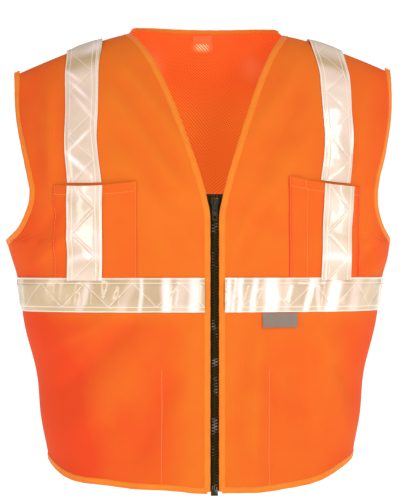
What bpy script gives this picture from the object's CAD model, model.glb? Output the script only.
import math

import bpy
import numpy as np
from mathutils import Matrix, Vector


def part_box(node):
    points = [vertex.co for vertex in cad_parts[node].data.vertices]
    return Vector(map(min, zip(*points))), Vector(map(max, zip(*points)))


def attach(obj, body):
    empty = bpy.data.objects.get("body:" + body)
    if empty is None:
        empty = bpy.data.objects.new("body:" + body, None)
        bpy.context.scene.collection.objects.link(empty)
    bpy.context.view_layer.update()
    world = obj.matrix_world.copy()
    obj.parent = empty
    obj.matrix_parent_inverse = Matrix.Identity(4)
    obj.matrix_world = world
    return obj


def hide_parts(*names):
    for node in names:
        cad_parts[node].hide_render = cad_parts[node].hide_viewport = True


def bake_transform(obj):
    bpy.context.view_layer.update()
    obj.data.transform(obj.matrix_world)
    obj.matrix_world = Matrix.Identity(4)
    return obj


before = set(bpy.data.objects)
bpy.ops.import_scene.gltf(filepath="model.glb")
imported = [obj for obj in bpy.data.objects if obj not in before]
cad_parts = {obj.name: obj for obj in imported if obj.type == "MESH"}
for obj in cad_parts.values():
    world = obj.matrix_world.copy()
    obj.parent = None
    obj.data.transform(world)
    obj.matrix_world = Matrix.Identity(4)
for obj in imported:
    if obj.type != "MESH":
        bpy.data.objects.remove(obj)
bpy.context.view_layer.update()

bpy.ops.object.select_all(action="DESELECT")


# ------------------------------------------------------------------ studio
# The vest hangs over a plain white floor in a white room. Large soft panels light it from the
# front, and the camera looks level at its middle, a little from the wearer's right.
VEST_MIDDLE = Vector((-0.0078, 0.0, 0.3605))
CAMERA_AZIMUTH = math.radians(-6)
CAMERA_DISTANCE = 2.75
FLOOR_Z = -0.90
VIEW_WIDTH = 0.590         # how much the view takes in at the vest's front
FRONT_FORWARD = 0.11       # how far the front lies before the vest's middle


def set_sockets(node, values):
    """Sets sockets of a node that are the same all over the surface, by name or number."""
    for socket, value in values.items():
        node.inputs[socket].default_value = value


def start_material(name, surface):
    """A new material, with its nodes, its links and its shader, which is labelled with the surface."""
    material = bpy.data.materials.new(name)
    material.use_nodes = True
    nodes, links = material.node_tree.nodes, material.node_tree.links
    shader = nodes["Principled BSDF"]
    shader.label = surface
    return material, nodes, links, shader


bpy.ops.mesh.primitive_grid_add(x_subdivisions=8, y_subdivisions=8, size=60, location=(0, 0, FLOOR_Z))
floor = bpy.context.object
floor.name = "studio_floor"
bpy.ops.object.transform_apply(location=True)
floor_white, _, _, floor_shader = start_material("studio_white", "white paper")
set_sockets(floor_shader, {"Base Color": (0.93, 0.93, 0.93, 1), "Roughness": 0.9,
                           "Emission Color": (1, 1, 1, 1), "Emission Strength": 0.78})
floor.data.materials.append(floor_white)

world = bpy.data.worlds.new("studio")
bpy.context.scene.world = world
world.use_nodes = True
room_nodes, room_links = world.node_tree.nodes, world.node_tree.links
room = room_nodes["Background"]
room.label = "light of the room"
set_sockets(room, {"Color": (1, 1, 1, 1), "Strength": 0.45})
backdrop = room_nodes.new("ShaderNodeBackground")
backdrop.label = "white backdrop"
set_sockets(backdrop, {"Color": (1, 1, 1, 1), "Strength": 1.1})
seen = room_nodes.new("ShaderNodeLightPath")
seen.label = "seen directly"
either = room_nodes.new("ShaderNodeMixShader")
either.label = "backdrop or light"
room_links.new(seen.outputs["Is Camera Ray"], either.inputs[0])
room_links.new(room.outputs[0], either.inputs[1])
room_links.new(backdrop.outputs[0], either.inputs[2])
room_links.new(either.outputs[0], room_nodes["World Output"].inputs["Surface"])


def set_out(nodes):
    """Lays a material's nodes out in columns, in the order that they were made."""
    for index, node in enumerate(node for node in nodes if node.type != "FRAME"):
        node.location = (-1500 + 260 * (index // 4), 500 - 260 * (index % 4))


set_out(room_nodes)


def soft_panel(name, place, aim, size, power):
    bpy.ops.object.light_add(type="AREA", location=place)
    panel = bpy.context.object
    panel.name = name
    panel.rotation_euler = (Vector(aim) - Vector(place)).to_track_quat("-Z", "Y").to_euler()
    panel.data.shape = "RECTANGLE"
    panel.data.size, panel.data.size_y = size
    panel.data.energy = power


soft_panel("key_panel", (1.55, -2.05, 1.75), (0, 0, 0.35), (1.0, 1.2), 29)
soft_panel("fill_panel", (-2.2, -1.3, 0.8), (0, 0, 0.40), (0.7, 1.8), 12)
soft_panel("front_strip", (0.50, -2.9, 0.30), (0, 0, 0.3), (0.16, 1.2), 5.5)
soft_panel("left_strip", (-1.25, -2.4, 0.5), (0, 0, 0.3), (0.14, 1.4), 5)
soft_panel("right_strip", (1.75, -1.9, 0.3), (0, 0, 0.3), (0.20, 1.0), 5)

camera = bpy.data.objects.new("camera", bpy.data.cameras.new("camera"))
bpy.context.scene.collection.objects.link(camera)
look = Vector((math.sin(CAMERA_AZIMUTH), -math.cos(CAMERA_AZIMUTH), 0))
camera.location = VEST_MIDDLE + look * CAMERA_DISTANCE
camera.rotation_euler = (math.pi / 2, 0, CAMERA_AZIMUTH)
camera.data.sensor_fit = "HORIZONTAL"
camera.data.sensor_width = 36
camera.data.lens = camera.data.sensor_width * (CAMERA_DISTANCE - FRONT_FORWARD) / VIEW_WIDTH
bpy.context.scene.camera = camera
bpy.context.scene.view_settings.view_transform = "Standard"
bpy.context.scene.view_settings.look = "None"


# ------------------------------------------------------------------ back panel
# The back is one piece of open mesh knit, cut as wide as the two fronts together. It is sewn to
# them at the side and shoulder seams, and its neck, armholes and hem are bound.
CHEST_HALF = 0.2935
HEM_HALF = 0.2350
HEM_Z = 0.004
ARMPIT_Z = 0.373
ARMHOLE_HALF = 0.2625
ARMHOLE_Z = 0.4485
NECK_HALF = 0.1176
NECK_Z = 0.689
SHOULDER_HALF = 0.2895
SHOULDER_Z = 0.630
NAPE_Z = 0.7030
NAPE_DEPTH = 0.050
SHOULDER_ROLL = 0.140
FRONT_DEPTH = 0.118
FRONT_TOP_DEPTH = 0.085
BACK_HEM_DEPTH = 0.100
BACK_BLADE_DEPTH = 0.126
BACK_TOP_DEPTH = 0.080
BLADE_Z = 0.500
V_START_Z = 0.410
ZIP_HALF_GAP = 0.0063
BELOW_ROLL = 0.71          # share of a panel's rows that lie below the shoulder's roll
KNIT_THICKNESS = 0.0006
HOLE_CELL = (0.0050, 0.0044)   # the mesh repeats at this step, with two staggered holes to a cell
BACK_ARM_INSET = 0.008     # the back is cut this much narrower at the armholes
UNDER_BINDING = 0.003      # how far a panel's raw edge stops short of the finished edge
HEM_INSET = 0.002


def mix(low, high, share):
    return low + (high - low) * share


def smooth(share):
    share = np.clip(share, 0, 1)
    return share * share * (3 - 2 * share)


def half_width(z):
    share = np.clip((z - 0.05) / (ARMPIT_Z - 0.05), 0, 1)
    waver = 0.0022 * np.cos(45 * (z - 0.106)) * smooth((ARMPIT_Z - z) / 0.05)
    return mix(HEM_HALF, CHEST_HALF, share ** 1.25) + waver


def hem_height(x):
    """The hem dips to the middle. Its corner is square on the wearer's right and round on the left."""
    share = np.minimum(np.abs(x) / HEM_HALF, 1.0)
    right = 0.0178 * share ** 1.1 + 0.0255 * share ** 14
    left = 0.010 * share ** 2 + 0.036 * share ** 3.4
    return HEM_Z + np.where(x < 0, right, left) + 0.0007 * np.sin(x * 70)


def shoulder_height(x):
    """The shoulder seam falls from the neck to the tip, which hangs lower on the wearer's right."""
    share = np.clip((np.abs(x) - NECK_HALF) / (SHOULDER_HALF - NECK_HALF), 0, 1)
    return mix(NECK_Z, SHOULDER_Z, share ** 1.28) + np.where(x < 0, -0.0065, 0.0040) * share


def back_top_height(x):
    inside = np.clip(1 - (np.abs(x) / NECK_HALF) ** 18, 0, 1)
    return shoulder_height(x) + (NAPE_Z - NECK_Z) * inside


def roll(drop):
    share = np.clip(drop / SHOULDER_ROLL, 0, 1)
    return np.sqrt(np.clip(1 - (1 - share) ** 2, 0, 1))


def shifted(angle, z):
    """Sideways set of the hanging vest, whose body sits a little to the wearer's right of the zip."""
    set_right = 0.003 + 0.008 * smooth((0.60 - z) / 0.2) - 0.0035 * smooth((0.40 - z) / 0.06)
    return -set_right * np.sin(angle) ** 2


def fold_relief(x, z, folds):
    """Sum of soft ridges and hollows. Each runs from one end to the other with a width and height."""
    total = np.zeros_like(x)
    for from_x, from_z, to_x, to_z, width, height in folds:
        run = np.array([to_x - from_x, to_z - from_z])
        length = math.hypot(*run)
        along = ((x - from_x) * run[0] + (z - from_z) * run[1]) / length ** 2
        off = ((x - from_x) * run[1] - (z - from_z) * run[0]) / length
        fade = smooth((along + 0.15) / 0.4) * smooth((1.15 - along) / 0.4)
        total += height * np.exp(-(off / width) ** 2) * fade
    return total


def raised(points, angle, relief):
    side = np.stack([np.sin(angle), -np.cos(angle), np.zeros_like(angle)], axis=-1)
    return points + side * relief[..., None]


BACK_FOLDS = [
    (-0.20, 0.58, -0.12, 0.36, 0.020, 0.004),
    (0.20, 0.58, 0.12, 0.36, 0.020, 0.004),
    (-0.06, 0.60, 0.07, 0.60, 0.022, 0.003),
    (0.10, 0.24, 0.16, 0.04, 0.024, 0.005),
    (-0.10, 0.24, -0.16, 0.04, 0.024, 0.005),
    (0.01, 0.22, -0.02, 0.03, 0.022, 0.004),
]


def back_surface(angle, z):
    """Outer face of the back. angle is 0 at the spine and a quarter turn at the side seam."""
    x = half_width(z) * np.sin(angle)
    low = mix(BACK_HEM_DEPTH, BACK_BLADE_DEPTH, smooth(z / BLADE_Z))
    depth = mix(low, BACK_TOP_DEPTH, smooth((z - BLADE_Z) / 0.18))
    drop = back_top_height(x) - z
    upright = np.sin(math.pi / 2 * np.clip(drop / SHOULDER_ROLL, 0, 1))
    inside = np.clip(np.abs(x) / NECK_HALF, 0, 1)
    turned = mix(upright, roll(drop), inside ** 3)
    edge = NAPE_DEPTH * (1 - inside ** 2)
    plan = np.cos(angle) * (1 + 0.25 * np.sin(angle) ** 2)
    y = edge + (depth * plan - edge) * turned
    relief = fold_relief(x, z, BACK_FOLDS)
    relief *= smooth((math.pi / 2 - np.abs(angle)) / 0.35) * smooth(drop / 0.05)
    points = np.stack([x + shifted(angle, z), y, z + np.zeros_like(x)], axis=-1)
    outward = np.stack([np.sin(angle), np.cos(angle), np.zeros_like(angle)], axis=-1)
    return points + outward * relief[..., None]


def outer_edge(z):
    """Half width to the side seam, then to the finished edge of the armhole."""
    low = np.clip((z - ARMPIT_Z) / (ARMHOLE_Z - ARMPIT_Z), 0, 1)
    high = np.clip((z - ARMHOLE_Z) / 0.15, 0, 1)
    scoop = mix(ARMHOLE_HALF, CHEST_HALF, (1 - low) ** 2.2)
    cap = mix(ARMHOLE_HALF, SHOULDER_HALF, np.sin(math.pi / 2 * high) ** 1.3)
    return np.where(z <= ARMPIT_Z, half_width(z), np.where(z <= ARMHOLE_Z, scoop, cap))


def row_height(t, foot, top, below=BELOW_ROLL):
    """Height of the place a share t up a piece: even up to the roll, then by the roll's turn."""
    turn = np.clip((t - below) / (1 - below), 0, 1) * math.pi / 2
    upright = mix(foot, top - SHOULDER_ROLL, np.clip(t / below, 0, 1))
    turned = top - SHOULDER_ROLL * (1 - np.sin(turn))
    return np.where(t <= below, upright, turned)


def angle_at(x, z):
    return np.arcsin(np.clip(x / half_width(z), -1, 1))


def share_outwards(s, side):
    """The share across a piece from the zip outwards. It is turned over on the right, so that faces point out."""
    return s if side > 0 else 1 - s


def back_panel_place(s, t):
    across = 1 - 2 * s
    x = across * 0.25
    for _ in range(6):         # a row's height and width depend on each other, and settle in a few turns
        z = row_height(t, hem_height(x) + HEM_INSET, back_top_height(x))
        inset = UNDER_BINDING * smooth((z - ARMPIT_Z) / 0.02)
        inset = inset + BACK_ARM_INSET * smooth((z - ARMPIT_Z) / 0.04) * smooth((0.625 - z) / 0.04)
        angle = across * angle_at(outer_edge(z) - inset, z)
        x = half_width(z) * np.sin(angle)
    nape = smooth((NECK_HALF - np.abs(x)) / 0.02) * UNDER_BINDING
    return back_surface(angle, z - nape * smooth((t - 0.9) / 0.1))


def normals_of(place, s, t):
    """Unit normals of a placed sheet, from its own slopes."""
    step = 0.002
    s_low, s_high = np.clip(s - step, 0, 1), np.clip(s + step, 0, 1)
    t_low, t_high = np.clip(t - step, 0, 1), np.clip(t + step, 0, 1)
    across = place(s_high, t) - place(s_low, t)
    along = place(s, t_high) - place(s, t_low)
    normal = np.cross(across, along)
    return normal / np.maximum(np.linalg.norm(normal, axis=-1, keepdims=True), 1e-12)


def drape(name, place, across, along, lift=None):
    """A grid whose every point is put where place(s, t) says, with its UVs in metres of cloth.

    lift(s, t, u, v) then raises each point off that place along its normal.
    """
    bpy.ops.object.select_all(action="DESELECT")
    bpy.ops.mesh.primitive_grid_add(x_subdivisions=across, y_subdivisions=along, size=2)
    piece = bpy.context.object
    piece.name = piece.data.name = name
    mesh = piece.data
    flat = np.empty(len(mesh.vertices) * 3)
    mesh.vertices.foreach_get("co", flat)
    s = np.clip((flat[0::3] + 1) / 2, 0, 1)
    t = np.clip((flat[1::3] + 1) / 2, 0, 1)
    points = place(s, t)
    column = np.rint(s * across).astype(int)
    row = np.rint(t * along).astype(int)
    grid = np.zeros((along + 1, across + 1, 3))
    grid[row, column] = points
    u = np.zeros((along + 1, across + 1))
    v = np.zeros((along + 1, across + 1))
    u[:, 1:] = np.cumsum(np.linalg.norm(np.diff(grid, axis=1), axis=-1), axis=1)
    v[1:, :] = np.cumsum(np.linalg.norm(np.diff(grid, axis=0), axis=-1), axis=0)
    u, v = u[row, column], v[row, column]
    if lift is not None:
        points = points + normals_of(place, s, t) * lift(s, t, u, v)[:, None]
    mesh.vertices.foreach_set("co", points.ravel())
    corner = np.empty(len(mesh.loops), dtype=int)
    mesh.loops.foreach_get("vertex_index", corner)
    cloth_map = np.stack([u[corner], v[corner]], axis=-1)
    mesh.uv_layers.active.data.foreach_set("uv", cloth_map.ravel())
    mesh.update()
    return piece


def thicken(piece, thickness, offset=-1.0):
    bpy.context.view_layer.objects.active = piece
    shell = piece.modifiers.new("thickness", "SOLIDIFY")
    shell.thickness = thickness
    shell.offset = offset
    bpy.ops.object.modifier_apply(modifier=shell.name)
    bpy.ops.object.shade_smooth_by_angle(angle=math.radians(50))


def mark(piece, attribute, rule):
    """Stores a value at each point, such as how deep the dye looks, by a rule of x and z."""
    co = np.empty(len(piece.data.vertices) * 3)
    piece.data.vertices.foreach_get("co", co)
    values = piece.data.attributes.new(attribute, "FLOAT", "POINT")
    values.data.foreach_set("value", rule(co[0::3], co[2::3]).astype(np.float32))


def gather(frame_node, nodes):
    """Puts the nodes made since a frame into it."""
    made = list(nodes)
    for node in made[made.index(frame_node) + 1:]:
        node.parent = frame_node


def knit_material(name, open_colour, deep_colour, mesh_holes=False, glow=0.1):
    """Polyester knit: fine ribs, a soft mottle and, on the mesh, rows of staggered holes."""
    material, nodes, links, shader = start_material(name, "polyester knit")
    set_sockets(shader, {"Roughness": 0.78, "Sheen Weight": 0.15, "Sheen Roughness": 0.5,
                         "Sheen Tint": (1.0, 0.45, 0.15, 1), "Specular IOR Level": 0.12})
    shader.inputs["Emission Strength"].default_value = glow      # the dye is fluorescent

    place = nodes.new("ShaderNodeTexCoord")
    place.label = "place on the cloth"
    dye = nodes.new("NodeFrame")
    dye.label = "dye"
    depth = nodes.new("ShaderNodeAttribute")
    depth.label = "depth of the dye"
    depth.attribute_name = "depth"
    mottle = nodes.new("ShaderNodeTexNoise")
    mottle.label = "uneven dye"
    set_sockets(mottle, {"Scale": 16, "Detail": 4})
    links.new(place.outputs["Object"], mottle.inputs["Vector"])
    uneven = nodes.new("ShaderNodeMath")
    uneven.label = "mottle round the depth"
    uneven.operation = "MULTIPLY_ADD"
    uneven.inputs[1].default_value = 0.5
    links.new(mottle.outputs["Fac"], uneven.inputs[0])
    links.new(depth.outputs["Fac"], uneven.inputs[2])
    colour = nodes.new("ShaderNodeMapRange")
    colour.label = "depth to share"
    set_sockets(colour, {"From Min": 0.2, "From Max": 1.25})
    links.new(uneven.outputs[0], colour.inputs["Value"])
    shade = nodes.new("ShaderNodeMix")
    shade.label = "open cloth to hollows"
    shade.data_type = "RGBA"
    set_sockets(shade, {6: (*open_colour, 1), 7: (*deep_colour, 1)})
    links.new(colour.outputs["Result"], shade.inputs[0])
    gather(dye, nodes)

    knit = nodes.new("NodeFrame")
    knit.label = "knit"
    ribs = nodes.new("ShaderNodeTexWave")
    ribs.label = "knit ribs"
    ribs.wave_type = "BANDS"
    ribs.bands_direction = "X"
    set_sockets(ribs, {"Scale": 160, "Distortion": 0.6})
    links.new(place.outputs["UV"], ribs.inputs["Vector"])
    bump = nodes.new("ShaderNodeBump")
    bump.label = "rib height"
    set_sockets(bump, {"Strength": 0.12, "Distance": 0.0004})
    links.new(ribs.outputs["Fac"], bump.inputs["Height"])
    links.new(bump.outputs["Normal"], shader.inputs["Normal"])
    gather(knit, nodes)

    if not mesh_holes:
        links.new(shade.outputs[2], shader.inputs["Base Color"])
        links.new(shade.outputs[2], shader.inputs["Emission Color"])
        set_out(nodes)
        return material

    holes = nodes.new("NodeFrame")
    holes.label = "mesh holes"
    lattice = nodes.new("ShaderNodeMapping")
    lattice.label = "one cell to a pair of holes"
    lattice.inputs["Scale"].default_value = (1 / HOLE_CELL[0], 1 / HOLE_CELL[1], 1)
    links.new(place.outputs["UV"], lattice.inputs["Vector"])
    openings = []
    for shift in (0.0, 0.5):
        moved = nodes.new("ShaderNodeVectorMath")
        moved.label = "stagger"
        moved.operation = "ADD"
        moved.inputs[1].default_value = (shift, shift, 0)
        links.new(lattice.outputs["Vector"], moved.inputs[0])
        cell = nodes.new("ShaderNodeVectorMath")
        cell.label = "repeat"
        cell.operation = "FRACTION"
        links.new(moved.outputs[0], cell.inputs[0])
        reach = nodes.new("ShaderNodeVectorMath")
        reach.label = "from the hole's middle"
        reach.operation = "DISTANCE"
        reach.inputs[1].default_value = (0.5, 0.5, 0)
        links.new(cell.outputs[0], reach.inputs[0])
        rim = nodes.new("ShaderNodeMapRange")
        rim.label = "hole and rim"
        set_sockets(rim, {"From Min": 0.19, "From Max": 0.29, "To Min": 1, "To Max": 0})
        links.new(reach.outputs["Value"], rim.inputs["Value"])
        openings.append(rim)
    either = nodes.new("ShaderNodeMath")
    either.label = "either row"
    either.operation = "MAXIMUM"
    links.new(openings[0].outputs["Result"], either.inputs[0])
    links.new(openings[1].outputs["Result"], either.inputs[1])
    dark = nodes.new("ShaderNodeMix")
    dark.label = "shade in the holes"
    dark.data_type = "RGBA"
    dark.inputs[7].default_value = (0.52, 0.030, 0.006, 1)
    strength = nodes.new("ShaderNodeMath")
    strength.label = "how dark the holes look"
    strength.operation = "MULTIPLY"
    strength.inputs[1].default_value = 0.85
    links.new(either.outputs[0], strength.inputs[0])
    links.new(strength.outputs[0], dark.inputs[0])
    links.new(shade.outputs[2], dark.inputs[6])
    thin = nodes.new("ShaderNodeAttribute")
    thin.label = "where light comes through"
    thin.attribute_name = "thin"
    through = nodes.new("ShaderNodeMath")
    through.label = "lit holes"
    through.operation = "MULTIPLY"
    links.new(either.outputs[0], through.inputs[0])
    links.new(thin.outputs["Fac"], through.inputs[1])
    lit = nodes.new("ShaderNodeMix")
    lit.label = "light in the holes"
    lit.data_type = "RGBA"
    lit.inputs[7].default_value = (1.0, 0.58, 0.30, 1)
    links.new(through.outputs[0], lit.inputs[0])
    links.new(dark.outputs[2], lit.inputs[6])
    links.new(lit.outputs[2], shader.inputs["Base Color"])
    links.new(lit.outputs[2], shader.inputs["Emission Color"])
    gather(holes, nodes)
    set_out(nodes)
    return material


front_knit = knit_material("front_knit", (0.650, 0.164, 0.0112), (0.640, 0.048, 0.0090), glow=0.10)
mesh_knit = knit_material("mesh_knit", (0.72, 0.186, 0.022), (0.64, 0.082, 0.012), mesh_holes=True, glow=0.60)


def thin_places(x, z):
    """Light shows through the mesh at the nape and beside the top of the V."""
    nape = smooth((0.014 - np.abs(x)) / 0.006) * smooth((0.008 - np.abs(z - 0.6775)) / 0.004)
    right = np.exp(-((x + 0.078) / 0.016) ** 2 - ((z - 0.640) / 0.024) ** 2)
    left = np.exp(-((x - 0.080) / 0.016) ** 2 - ((z - 0.645) / 0.016) ** 2)
    return np.clip(nape + 0.30 * right + 0.20 * left, 0, 1)


def back_depth_rule(x, z):
    """The mesh looks deeper at the sides and near the neck, and more open where the fronts shade it."""
    return 0.10 + 0.4 * smooth((np.abs(x) - 0.15) / 0.14) + 0.78 * smooth((z - 0.55) / 0.12)


back_panel = drape("back_mesh_panel", back_panel_place, 130, 150)
thicken(back_panel, KNIT_THICKNESS)
mark(back_panel, "depth", back_depth_rule)
mark(back_panel, "thin", thin_places)
back_panel.data.materials.append(mesh_knit)
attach(back_panel, "back")
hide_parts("back_panel")


# ------------------------------------------------------------------ fronts
# Each front is a piece of smooth close knit, from the zip and the V of the neck to the side seam
# and armhole. It bends between its shoulder and side, which stay with the back, and its zip edge.
RIGHT_FOLDS = [
    (-0.140, 0.655, -0.030, 0.490, 0.010, 0.0070),
    (-0.152, 0.632, -0.045, 0.470, 0.009, -0.0050),
    (-0.156, 0.600, -0.050, 0.448, 0.010, 0.0052),
    (-0.156, 0.560, -0.062, 0.425, 0.011, -0.0044),
    (-0.150, 0.510, -0.070, 0.405, 0.011, 0.0036),
    (-0.240, 0.615, -0.232, 0.470, 0.010, 0.0070),
    (-0.222, 0.605, -0.218, 0.450, 0.009, -0.0068),
    (-0.262, 0.560, -0.246, 0.440, 0.008, -0.0040),
    (-0.060, 0.420, -0.020, 0.340, 0.010, 0.0030),
    (-0.085, 0.420, -0.040, 0.345, 0.009, -0.0026),
    (-0.262, 0.335, -0.205, 0.385, 0.010, 0.0060),
    (-0.268, 0.360, -0.215, 0.425, 0.009, -0.0050),
    (-0.070, 0.255, -0.205, 0.080, 0.024, 0.0095),
    (-0.115, 0.262, -0.225, 0.150, 0.014, -0.0070),
    (-0.048, 0.190, -0.130, 0.030, 0.016, -0.0064),
    (-0.150, 0.262, -0.232, 0.215, 0.010, 0.0040),
    (-0.030, 0.255, -0.040, 0.150, 0.008, 0.0030),
]
LEFT_FOLDS = [
    (0.135, 0.640, 0.035, 0.500, 0.012, 0.0050),
    (0.146, 0.610, 0.050, 0.440, 0.011, -0.0044),
    (0.148, 0.540, 0.070, 0.430, 0.012, 0.0034),
    (0.060, 0.430, 0.022, 0.350, 0.008, 0.0046),
    (0.088, 0.440, 0.035, 0.340, 0.009, -0.0042),
    (0.236, 0.610, 0.226, 0.470, 0.011, 0.0056),
    (0.218, 0.600, 0.212, 0.480, 0.010, -0.0046),
    (0.045, 0.250, 0.030, 0.040, 0.008, -0.0058),
    (0.066, 0.245, 0.055, 0.020, 0.008, 0.0060),
    (0.086, 0.210, 0.080, 0.020, 0.010, -0.0046),
    (0.110, 0.240, 0.150, 0.050, 0.016, -0.0060),
    (0.160, 0.255, 0.208, 0.080, 0.018, 0.0078),
    (0.180, 0.200, 0.232, 0.130, 0.010, -0.0040),
    (0.264, 0.345, 0.215, 0.275, 0.010, 0.0058),
    (0.262, 0.380, 0.222, 0.330, 0.009, -0.0046),
]
FRONT_FOLDS = RIGHT_FOLDS + LEFT_FOLDS
FOLD_HEIGHT = 0.50
HAND = {-1: "right", 1: "left"}


def front_surface(angle, z):
    """Outer face of the fronts. angle is 0 at the zip and a quarter turn at the side seam."""
    x = half_width(z) * np.sin(angle)
    depth = mix(FRONT_DEPTH, FRONT_TOP_DEPTH, smooth((z - 0.44) / 0.2))
    drop = shoulder_height(x) - z
    plan = np.cos(angle) * (1 + 0.25 * np.sin(angle) ** 2)
    points = np.stack([x + shifted(angle, z), -depth * plan * roll(drop), z + np.zeros_like(x)], axis=-1)
    relief = FOLD_HEIGHT * fold_relief(x, z, FRONT_FOLDS) + front_ripple(x, z)
    relief *= smooth((math.pi / 2 - np.abs(angle)) / 0.35) * smooth(drop / 0.04)
    relief *= smooth((np.abs(x) - 0.012) / 0.03 + smooth((z - 0.45) / 0.05))
    return raised(points, angle, relief)


def front_ripple(x, z):
    return 0.0007 * np.sin(x * 60 + 5 * np.sin(z * 14)) * np.sin(z * 33 + 3 * np.sin(x * 21))


def neck_edge(z):
    """Half width between the finished front edges: the zip gap, then the V."""
    share = np.clip((z - V_START_Z) / (NECK_Z - V_START_Z), 0, 1)
    return mix(ZIP_HALF_GAP, NECK_HALF, 0.85 * share ** 1.25 + 0.15 * share ** 10)


def front_panel_place(side):
    def place(s, t):
        share = share_outwards(s, side)
        x = 0.02 + share * 0.25
        for _ in range(8):
            z = row_height(t, hem_height(side * x) + HEM_INSET, shoulder_height(side * x))
            inner = angle_at(neck_edge(z) + UNDER_BINDING, z)
            inset = UNDER_BINDING * smooth((z - ARMPIT_Z) / 0.02)
            angle = mix(inner, angle_at(outer_edge(z) - inset, z), share)
            x = half_width(z) * np.sin(angle)
        return front_surface(side * angle, z)
    return place


def front_depth_rule(x, z):
    """The dye looks deeper in hollows, towards the sides and low on the wearer's right."""
    relief = fold_relief(x, z, FRONT_FOLDS)
    right = smooth((-x - 0.02) / 0.06)
    left = smooth((x - 0.02) / 0.06)
    below = smooth((0.275 - z) / 0.03)
    low_right = 0.16 * right * smooth((0.47 - z) / 0.06)
    sides = smooth((np.abs(x) / half_width(z) - 0.62) / 0.4) * (0.42 + low_right)
    corner = smooth((-x - 0.10) / 0.12) * smooth((0.26 - z) / 0.20)
    depth = 0.30 + 0.05 * left + below * (0.13 * left + 0.33 * right) + sides + 0.40 * corner
    return np.clip(depth - relief * 14, 0, 1.3)


def bend_with_front(piece, side):
    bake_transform(piece)


for side in (-1, 1):
    panel = drape(f"{HAND[side]}_front_cloth", front_panel_place(side), 76, 160)
    thicken(panel, KNIT_THICKNESS)
    mark(panel, "depth", front_depth_rule)
    panel.data.materials.append(front_knit)
    bend_with_front(panel, side)
    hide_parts(f"{HAND[side]}_front_panel")


# ------------------------------------------------------------------ bindings
# Every raw edge of the knit is closed by a yellower woven tape, folded over it and sewn through
# with one row of thread, which pulls a line of small dimples into the tape.
BINDING_WIDTH = 0.0095
BINDING_HALF_THICKNESS = 0.0011
STITCH_PITCH = 0.0036
STITCH_LENGTH = 0.0025
THREAD_CELL = 0.0003       # twist of the thread, as its weave
BACK_NECK_BINDING = 0.0065 # the narrower tape at the back neck
ARMHOLE_TIP_RISE = 0.004
SEAM_SHARE = 0.56          # where the row of thread lies, as a share of the binding's width


def unit(vectors):
    return vectors / np.maximum(np.linalg.norm(vectors, axis=-1, keepdims=True), 1e-12)


def square_to(vectors, axis):
    return unit(vectors - axis * np.sum(vectors * axis, axis=-1, keepdims=True))


def panel_edge(place, start, end, inward):
    """Point, way in and normal along a straight run over a panel's own grid of shares."""
    def frames(share):
        def at(along):
            along = np.clip(along, 0, 1)
            return place(mix(start[0], end[0], along), mix(start[1], end[1], along))
        s = mix(start[0], end[0], share)
        t = mix(start[1], end[1], share)
        ahead = unit(at(share + 0.002) - at(share - 0.002))
        point = place(s, t)
        inner = square_to(place(s + inward[0] * 0.02, t + inward[1] * 0.02) - point, ahead)
        return point, inner, square_to(normals_of(place, s, t), ahead)
    return frames


def run_length(frames):
    points = frames(np.linspace(0, 1, 400))[0]
    return float(np.sum(np.linalg.norm(np.diff(points, axis=0), axis=1)))


def close_tube(piece):
    bpy.context.view_layer.objects.active = piece
    bpy.ops.object.mode_set(mode="EDIT")
    bpy.ops.mesh.select_all(action="SELECT")
    bpy.ops.mesh.remove_doubles(threshold=0.00001)
    bpy.ops.mesh.select_all(action="DESELECT")
    bpy.ops.mesh.select_non_manifold()
    bpy.ops.mesh.edge_face_add()
    bpy.ops.mesh.select_all(action="SELECT")
    bpy.ops.mesh.fill_holes(sides=0)
    bpy.ops.mesh.normals_make_consistent(inside=False)
    bpy.ops.object.mode_set(mode="OBJECT")
    bpy.ops.object.shade_smooth_by_angle(angle=math.radians(60))


def bind_edge(name, frames, tip_rise=0.0, width=BINDING_WIDTH):
    """Folded tape round a panel's edge. tip_rise lifts its far end clear of the seam it meets."""
    length = run_length(frames)
    along = int(length / STITCH_PITCH * 3)

    def place(s, t):
        point, inner, normal = frames(t)
        turn = s * 2 * math.pi
        flat, rise = np.cos(turn), np.sin(turn)
        reach = width / 2 * (1 - np.sign(flat) * np.abs(flat) ** 0.45)
        height = BINDING_HALF_THICKNESS * np.sign(rise) * np.abs(rise) ** 0.75
        seam = np.exp(-((reach - SEAM_SHARE * width) / 0.0012) ** 2)
        pull = 0.5 + 0.5 * np.cos(t * length / STITCH_PITCH * 2 * math.pi)
        height = height * (1 - seam * (0.25 + 0.3 * pull))
        reach = reach - UNDER_BINDING + 0.00012 * np.sin(t * length * 260)
        point = point + inner * reach[..., None] + normal * (height - KNIT_THICKNESS / 2)[..., None]
        point[..., 2] += tip_rise * smooth((t - 1 + 0.010 / length) / (0.006 / length))
        return point
    piece = drape(name, place, 20, along)
    close_tube(piece)
    return piece


def take_shape(model):
    """The corners and faces of a small shape, which is then put away."""
    points = np.array([tuple(corner.co) for corner in model.data.vertices])
    faces = [list(face.vertices) for face in model.data.polygons]
    bpy.data.objects.remove(model)
    return points, faces


def piece_of_copies(name, copies, faces):
    """One piece from many copies of a small shape, given as the corners of each copy."""
    each = len(copies[0])
    all_faces = [[copy * each + index for index in face] for copy in range(len(copies)) for face in faces]
    mesh = bpy.data.meshes.new(name)
    mesh.from_pydata(np.concatenate(copies).tolist(), [], all_faces)
    mesh.shade_smooth()
    piece = bpy.data.objects.new(name, mesh)
    bpy.context.scene.collection.objects.link(piece)
    return piece


bpy.ops.object.select_all(action="DESELECT")
bpy.ops.mesh.primitive_uv_sphere_add(segments=6, ring_count=5, radius=1)
stitch_points, stitch_faces = take_shape(bpy.context.object)


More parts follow.
